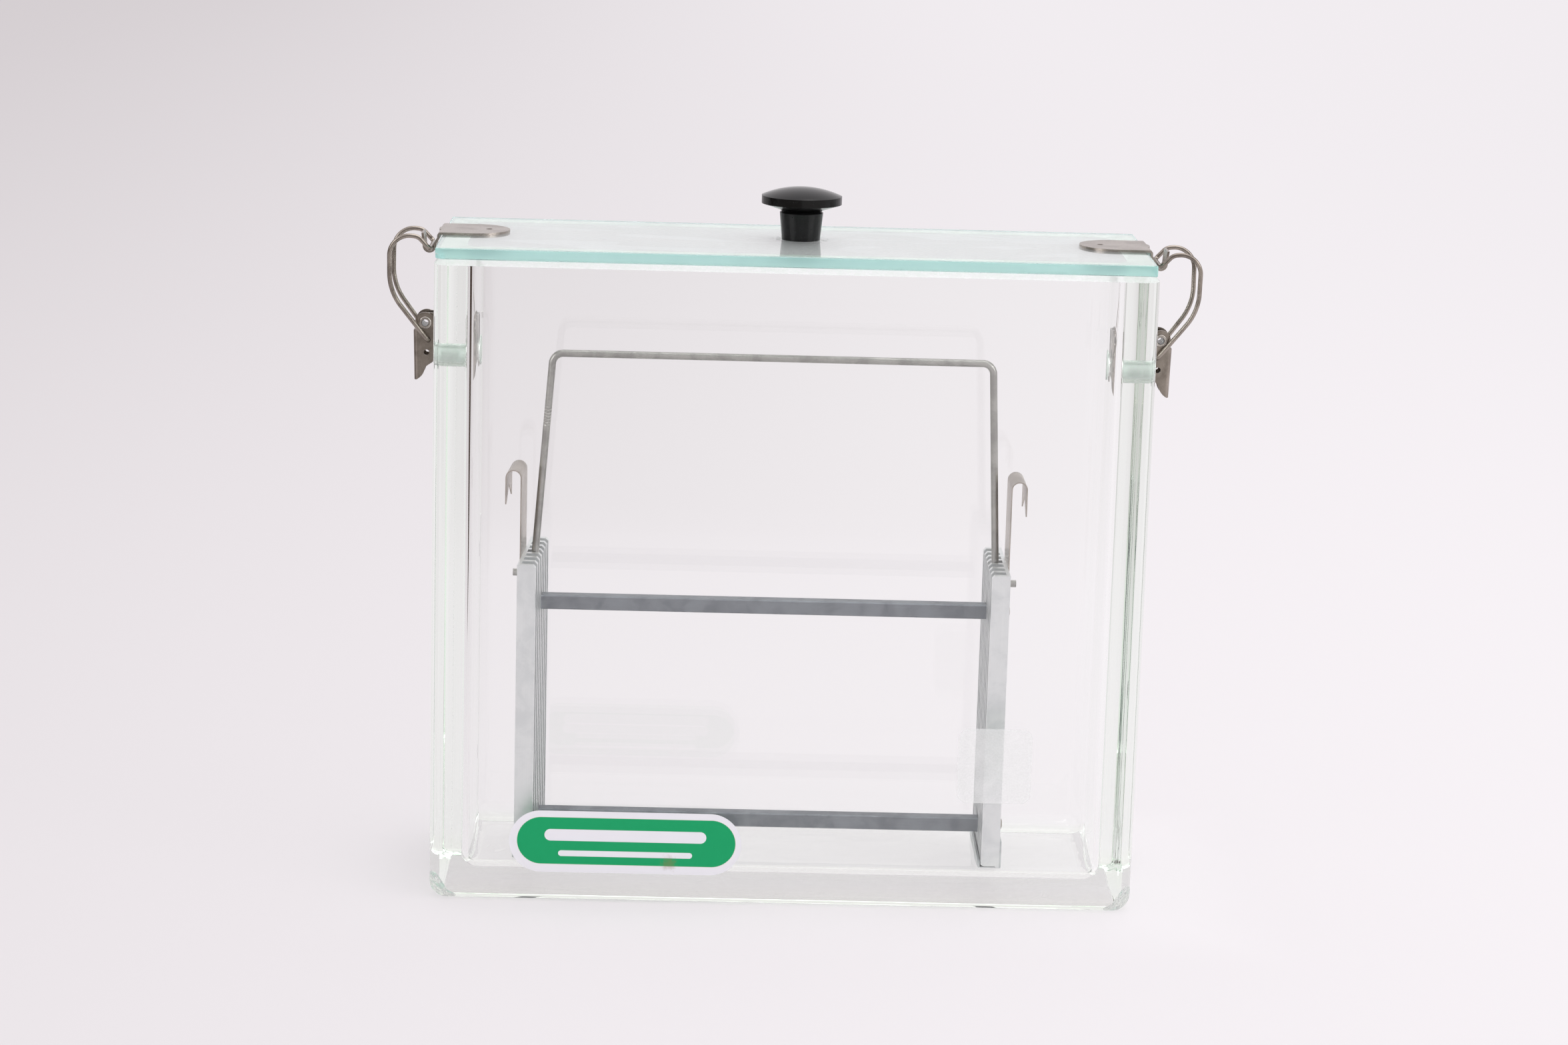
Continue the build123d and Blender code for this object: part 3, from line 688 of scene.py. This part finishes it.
@dataclass(frozen=True)
class LabelFilm:
    """Printed film: a green field in a white border, with two plain strips, scuffs and a stain."""

    centre: Span
    field: Span = (94.5, 21.0)
    field_centre: Span = (-67.3, 27.8)
    upper_strip: Point = (3.0, 35.0, 2.6)
    lower_strip: Point = (-5.2, 29.0, 1.3)
    print_edge: float = 0.12
    green: Colour = (0.003, 0.345, 0.125)
    worn_green: Colour = (0.008, 0.40, 0.16)
    white: Colour = (0.84, 0.82, 0.87)
    yellowed: Colour = (0.78, 0.76, 0.62)
    stain: Colour = (0.25, 0.16, 0.05)
    scuffed: Colour = (0.42, 0.42, 0.43)
    stain_at: Span = (-48.7, 18.6)
    wear: Pattern = Pattern.even(0.5, 4.0, 0.7)
    scuffs: Pattern = Pattern((0.12, 0.12, 0.35), 5.0, 0.75)
    relief: float = 0.006

    def printed(self, distance: Signal) -> Signal:
        """1 inside a printed shape, else 0, out of the distance outside it."""
        return distance.rise(self.print_edge, -self.print_edge)

    def strip(self, shader: Shader, shape: Point) -> Signal:
        """1 on a plain strip of a rise above the middle, half a width and half a height."""
        up, half_width, half_height = shape
        centre = (self.centre[0], self.centre[1] + up)
        return self.printed(shader.pill(centre, (half_width, half_height), half_height))

    def build(self, name: str) -> bpy.types.Material:
        """Make the material.

        Args:
            name: The material's name.

        Returns:
            The material.
        """
        shader = Shader.of_material(name)
        half = (self.field[0] / 2, self.field[1] / 2)
        border = shader.pill(self.field_centre, half, half[1])
        strips = self.strip(shader, self.upper_strip).larger(self.strip(shader, self.lower_strip))
        wear = shader.noise(self.wear)
        scuff = shader.noise(self.scuffs).rise(0.66, 0.74) * wear.rise(0.45, 0.6)
        ink = shader.blend(wear.rise(0.3, 0.7) * 0.12, self.green, self.worn_green)
        paper = shader.blend(abs(border).rise(0.35, 0.1) * 0.5, self.white, self.yellowed)
        colour = shader.blend(self.printed(border) * (1 - strips), paper, ink)
        x, z = shader.axis("X") - self.stain_at[0], shader.axis("Z") - self.stain_at[1]
        near = shader.round_about(x, z) + (wear - 0.5) * 8.0
        colour = shader.blend(near.rise(4.5, 0.5) * 0.4, colour, self.stain)
        return shader.finish(shader.solid({
            "Base Color": shader.blend(scuff * 0.45, colour, self.scuffed),
            "Roughness": 0.32 + wear * 0.15,
            "Specular IOR Level": 0.25,
            "Normal": shader.bump(wear, self.relief),
        }))


@dataclass(frozen=True)
class Frost:
    """Etched glass: a pale scattering skin that thins at its edge."""

    centre: Span
    half: Span
    radius: float
    colour: Colour = (0.85, 0.855, 0.855)
    share: float = 0.55
    grains: Pattern = Pattern.even(1.2, 4.0, 0.7)
    clouds: Pattern = Pattern.even(0.12)

    def build(self, name: str) -> bpy.types.Material:
        """Make the material.

        Args:
            name: The material's name.

        Returns:
            The material.
        """
        shader = Shader.of_material(name)
        inside = shader.pill(self.centre, self.half, self.radius).rise(0.2, -0.4)
        grain, cloud = shader.noise(self.grains), shader.noise(self.clouds)
        skin = shader.solid({"Base Color": self.colour, "Roughness": 0.6 + grain * 0.2})
        share = inside * (self.share + (grain - 0.5) * 0.3 + (cloud - 0.5) * 0.4)
        return shader.finish(shader.layer(share, shader.film(WHITE), skin))


@dataclass(frozen=True)
class Paper:
    """The studio's pale sweep, with the darker room beyond its left and front edges."""

    left: Colour = (0.70, 0.655, 0.675)
    right: Colour = (0.93, 0.89, 0.92)
    brown: Colour = (0.05, 0.028, 0.02)
    front_left: Colour = (0.30, 0.27, 0.25)
    front_right: Colour = (0.72, 0.69, 0.67)
    sweep: Span = (-1400.0, 650.0)
    left_edge: Span = (-560.0, -620.0)
    left_slope: float = 3.0
    front_edge: Span = (-650.0, -900.0)
    front_sweep: Span = (-250.0, 250.0)
    own_light: float = 0.86
    shaded_light: float = 0.42
    foot: Span = (152.7, 50.0)
    foot_fade: Span = (-4.0, 70.0)

    def build(self, name: str) -> bpy.types.Material:
        """Make the material.

        Args:
            name: The material's name.

        Returns:
            The material.
        """
        shader = Shader.of_material(name)
        x, y = shader.axis("X"), shader.axis("Y")
        sweep = shader.blend(x.rise(*self.sweep), self.left, self.right)
        wedge = (x + abs(y) * self.left_slope).rise(*self.left_edge)
        front = shader.blend(x.rise(*self.front_sweep), self.front_left, self.front_right)
        room = shader.blend(wedge, shader.blend(y.rise(*self.front_edge), sweep, front), self.brown)
        unmirrored = shader.rays("Glossy Depth") < 0.5
        tone = shader.blend(unmirrored.larger(shader.caught()), room, sweep)
        lit = shader.node("ShaderNodeBsdfDiffuse", {}, {"Color": tone}).outputs[0]
        glow = shader.node("ShaderNodeEmission", {}, {"Color": tone, "Strength": 1.0}).outputs[0]
        seen = shader.rays("Is Camera Ray", "Is Glossy Ray", "Is Transmission Ray")
        away = (abs(x) - self.foot[0]).larger(abs(y) - self.foot[1]).rise(*self.foot_fade)
        own = self.shaded_light + away * (self.own_light - self.shaded_light)
        return shader.finish(shader.layer(seen * own, lit, glow))


@dataclass(frozen=True)
class Room:
    """Plain room light: pale walls, greyer behind the photographer and brown at the left."""

    pale: Colour = (0.88, 0.85, 0.87)
    grey: Colour = (0.34, 0.33, 0.33)
    brown: Colour = (0.05, 0.03, 0.02)
    light: float = 0.64
    behind: Span = (-0.55, -0.9)
    behind_height: Span = (0.75, 0.45)
    left: Span = (-0.86, -0.96)
    left_height: Span = (0.5, 0.3)

    def build(self, world: bpy.types.World) -> None:
        """Make the world's nodes.

        Args:
            world: The world to light.
        """
        shader = Shader(world)
        x, y, z = shader.split(shader.node("ShaderNodeTexCoord", {}, {}).outputs["Generated"])
        behind = y.rise(*self.behind) * abs(z).rise(*self.behind_height)
        left = x.rise(*self.left) * abs(z).rise(*self.left_height)
        wall = shader.blend(left, shader.blend(behind, self.pale, self.grey), self.brown)
        ambient = self.glow(shader, WHITE, self.light)
        unseen = shader.layer(shader.rays("Is Glossy Ray"), ambient, self.glow(shader, wall, 1.0))
        seen = shader.rays("Is Camera Ray", "Is Transmission Ray")
        surface = shader.layer(seen, unseen, self.glow(shader, self.pale, 1.0))
        shader.node("ShaderNodeOutputWorld", {}, {"Surface": surface})

    def glow(self, shader: Shader, colour: Tone, strength: float) -> bpy.types.NodeSocket:
        """One background of a colour and a strength."""
        return shader.node("ShaderNodeBackground", {}, {"Color": colour, "Strength": strength}).outputs[0]


STAINLESS_SHEET = Metal((0.48, 0.43, 0.39), (0.32, 0.28, 0.25), Grain.TUMBLED, 0.25)
STAINLESS_DARK = Metal((0.42, 0.37, 0.325), (0.22, 0.19, 0.165), Grain.TUMBLED, 0.26)
STAINLESS_WIRE = Metal((0.40, 0.355, 0.31), (0.22, 0.19, 0.165), Grain.TUMBLED, 0.2)
HANDLE_WIRE = Metal((0.46, 0.45, 0.43), (0.32, 0.31, 0.30), Grain.TUMBLED, 0.3)
SCREW_STEEL = Metal((0.62, 0.59, 0.56), (0.36, 0.33, 0.3), Grain.TUMBLED, 0.26)
EYELET_STEEL = Metal((0.66, 0.62, 0.58), (0.36, 0.33, 0.3), Grain.TUMBLED, 0.2)
RACK_PLATE = Metal((0.80, 0.805, 0.81), (0.70, 0.71, 0.72), Grain.ALONG_Z, 0.36)
RACK_BAR = Metal((0.26, 0.275, 0.30), (0.175, 0.185, 0.205), Grain.ALONG_X, 0.42)
FOOT_SHEET = Metal((0.64, 0.66, 0.67), (0.44, 0.46, 0.46), Grain.ALONG_Y, 0.33)
BLACK_KNOB = Plastic((0.006, 0.006, 0.006), (0.35, 0.36, 0.37), 0.08, 0.05, shine=0.24)
MILKY_PLUG = Translucent()


class Assembly:
    """What every sub-assembly can do: dress its solids and place new pieces."""

    def __init__(self, nodes: dict[str, bpy.types.Object]) -> None:
        """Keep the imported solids.

        Args:
            nodes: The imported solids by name.
        """
        self.nodes = nodes

    def dress(self, node: str, material: bpy.types.Material) -> None:
        """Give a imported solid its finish.

        Args:
            node: The solid's name.
            material: The finish for all of it.
        """
        for slot in self.nodes[node].material_slots:
            slot.material = material
        LOG.info("dressed %s in %s", node, material.name)

    def dress_pair(self, stem: str, material: bpy.types.Material) -> None:
        """Give the two solids of a pair, left and right, one finish.

        Args:
            stem: Their name without the side.
            material: The finish for both.
        """
        for side in Side:
            self.dress(f"{stem}_{side.word}", material)

    def place(self, name: str, mesh: bpy.types.Mesh, body: str, slot: str,
              material: bpy.types.Material) -> bpy.types.Object:
        """Add a new piece that rides on a body.

        Args:
            name: The piece's name.
            mesh: Its mesh, already in the shared frame.
            body: The body that carries it.
            slot: The record's material slot that it belongs to; not used.
            material: Its finish.

        Returns:
            The piece.
        """
        piece = bpy.data.objects.new(name, mesh)
        bpy.context.scene.collection.objects.link(piece)
        mesh.materials.append(material)
        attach(piece, body)
        LOG.info("placed %s on %s", name, body)
        return piece


@dataclass
class Tank:
    """The glass tank with its label, its wall plugs and its etched panel."""

    front_y: float = -50.0
    label_centre: Span = (-67.7, 27.4)
    panel_centre: Span = (90.9, 65.5)
    panel_half: Span = (16.2, 16.8)
    panel_radius: float = 5.0
    panel_gap: float = 0.02

    def dress(self, shop: Assembly) -> None:
        """Finish the tank, the label and the plugs, and add the etched panel.

        Args:
            shop: The helper that dresses and places pieces.
        """
        shop.dress("glass_tank", TankGlass().build("tank_glass_moulded"))
        shop.dress("front_label", LabelFilm(self.label_centre).build("label_printed"))
        shop.dress_pair("wall_plug", MILKY_PLUG.build("plug_translucent"))
        frost = Frost(self.panel_centre, self.panel_half, self.panel_radius).build("etched_panel_frost")
        shop.place("etched_panel", self.panel(), "chamber", "tank_glass", frost)

    def panel(self) -> bpy.types.Mesh:
        """A thin skin for the etched panel, just proud of the front face."""
        (cx, cz), (hx, hz) = self.panel_centre, self.panel_half
        y = self.front_y - self.panel_gap
        outline = [(cx - hx, cz - hz), (cx + hx, cz - hz), (cx + hx, cz + hz), (cx - hx, cz + hz)]
        return one_face("etched_panel", [(x * MM, y * MM, z * MM) for x, z in outline])


@dataclass
class Lid:
    """The lid, its knob and its two clips."""

    top_z: float = 284.8
    underside_z: float = 280.0
    knob: Span = (2.0, 4.5)

    def dress(self, shop: Assembly) -> None:
        """Finish the lid, the knob and the clips.

        Args:
            shop: The helper that dresses and places pieces.
        """
        glass = LidGlass(underside_z=self.underside_z, top_z=self.top_z, knob=self.knob)
        shop.dress("lid_plate", glass.build("lid_glass_ground"))
        shop.dress("lid_knob", BLACK_KNOB.build("knob_black"))
        shop.dress_pair("lid_clip", STAINLESS_SHEET.build("clip_stainless"))


@dataclass
class Latches:
    """Both latches: base, lever, eyelet, bail and screw."""

    eyelet_x: float = 159.7
    eyelet_z: float = 245.0
    eyelet_bore_r: float = 1.6

    def dress(self, shop: Assembly) -> None:
        """Finish the solids of both latches.

        Args:
            shop: The helper that dresses and places pieces.
        """
        sheet = STAINLESS_DARK.build("latch_stainless")
        # the bore gives where the eyelet's hole is painted dark as shade
        eyelet = replace(EYELET_STEEL, bore=(self.eyelet_x, self.eyelet_z, self.eyelet_bore_r))
        shop.dress_pair("latch_base", sheet)
        shop.dress_pair("latch_lever", sheet)
        shop.dress_pair("latch_bail", STAINLESS_WIRE.build("bail_stainless"))
        shop.dress_pair("latch_screw", SCREW_STEEL.build("screw_stainless"))
        shop.dress_pair("latch_eyelet", eyelet.build("eyelet_stainless"))


@dataclass
class Rack:
    """The plate rack: end plates, bars, handle, hooks, feet and screws."""

    nick_heights: Span = (202.3, 209.8)
    nick_side_x: float = -60.0

    def dress(self, shop: Assembly) -> None:
        """Finish the solids of the rack.

        Args:
            shop: The helper that dresses and places pieces.
        """
        shop.dress_pair("rack_end_plate", RACK_PLATE.build("end_plate_aluminium"))
        shop.dress_pair("rack_hook", STAINLESS_SHEET.build("hook_stainless"))
        shop.dress_pair("rack_foot", FOOT_SHEET.build("foot_satin"))
        shop.dress_pair("rack_screws", SCREW_STEEL.build("rack_screw_stainless"))
        bar = RACK_BAR.build("bar_grey")
        shop.dress("rack_bar_upper", bar)
        shop.dress("rack_bar_lower", bar)
        wire = replace(HANDLE_WIRE, nicks=(*self.nick_heights, self.nick_side_x))
        shop.dress("rack_handle", wire.build("handle_stainless"))


@dataclass(frozen=True)
class Lamp:
    """One soft box: where it is, what it aims at, its size and its strength."""

    name: str
    place: Point
    target: Point
    size: Span
    watts: float
    colour: Colour = WHITE

    def add(self) -> None:
        """Put the lamp in the scene."""
        light = bpy.data.lights.new(self.name, "AREA")
        light.shape = "RECTANGLE"
        light.size, light.size_y = self.size
        light.energy = self.watts
        light.color = self.colour
        holder = bpy.data.objects.new(self.name, light)
        bpy.context.scene.collection.objects.link(holder)
        holder.location = self.place
        aim = Vector(self.target) - Vector(self.place)
        holder.rotation_mode = "QUATERNION"
        holder.rotation_quaternion = aim.to_track_quat("-Z", "Y")


@dataclass
class Studio:
    """Floor, lamps, world and the camera at the photograph's viewing angle, in metres."""

    floor_reach: float = 14.0
    camera_place: Point = (-0.0346778, -1.5727290, 0.5003225)
    yaw: float = -0.0208436
    pitch: float = 0.2129733
    roll: float = 0.0282162
    focal_px: float = 5500.0
    photo_width: int = 2352
    sensor: float = 36.0
    clip: Span = (0.05, 60.0)
    lamps: list[Lamp] = field(default_factory=lambda: [
        Lamp("top_box", (0.25, 0.1, 1.7), (0.0, 0.0, 0.1), (1.8, 1.4), 13.0),
        Lamp("right_box", (1.5, -0.9, 1.0), (0.0, 0.0, 0.15), (1.0, 1.2), 9.0),
        Lamp("left_box", (-1.5, -1.1, 0.8), (0.0, 0.0, 0.15), (0.9, 1.0), 6.0),
    ])

    def build(self) -> None:
        """Set the whole studio up."""
        self.add_floor()
        self.add_world()
        for lamp in self.lamps:
            lamp.add()
        self.add_camera()
        bpy.context.scene.view_settings.view_transform = "Standard"

    def add_floor(self) -> None:
        """Lay the pale floor, which runs far behind the object."""
        reach = self.floor_reach
        outline = [(-reach, -reach, 0.0), (reach, -reach, 0.0), (reach, reach, 0.0), (-reach, reach, 0.0)]
        mesh = one_face("studio_floor", outline)
        mesh.materials.append(Paper().build("studio_paper"))
        floor = bpy.data.objects.new("studio_floor", mesh)
        bpy.context.scene.collection.objects.link(floor)

    def add_world(self) -> None:
        """Fill the room with plain light."""
        world = bpy.data.worlds.new("studio_room")
        bpy.context.scene.world = world
        Room().build(world)

    def add_camera(self) -> None:
        """Stand the camera where the photograph was taken from."""
        turn = Matrix.Rotation(self.yaw, 3, "Z")
        ahead = turn @ Vector((0.0, math.cos(self.pitch), -math.sin(self.pitch)))
        right = turn @ Vector((1.0, 0.0, 0.0))
        up = right.cross(ahead)
        level, lean = math.cos(self.roll), math.sin(self.roll)
        side = right * level + up * lean
        top = up * level - right * lean
        data = bpy.data.cameras.new("photo_camera")
        data.sensor_width = self.sensor
        data.lens = self.focal_px * self.sensor / self.photo_width
        data.clip_start, data.clip_end = self.clip
        camera = bpy.data.objects.new("photo_camera", data)
        bpy.context.scene.collection.objects.link(camera)
        basis = Matrix((side, top, -ahead)).transposed().to_4x4()
        camera.matrix_world = Matrix.Translation(self.camera_place) @ basis
        bpy.context.scene.camera = camera


def one_face(name: str, outline: list[Point]) -> bpy.types.Mesh:
    """A mesh of a single flat face.

    Args:
        name: The mesh's name.
        outline: Its corners in order, in metres.

    Returns:
        The mesh.
    """
    mesh = bpy.data.meshes.new(name)
    bm = bmesh.new()
    bm.faces.new([bm.verts.new(corner) for corner in outline])
    bm.to_mesh(mesh)
    bm.free()
    return mesh


def main() -> None:
    """Build the studio and every sub-assembly in order."""
    logging.basicConfig(level=logging.INFO, format="%(name)s: %(message)s")
    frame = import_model()
    Studio().build()
    shop = Assembly(frame["nodes"])
    for part in (Tank(), Lid(), Latches(), Rack()):
        part.dress(shop)
        LOG.info("%s is done", type(part).__name__)


if __name__ == "__main__":
    main()
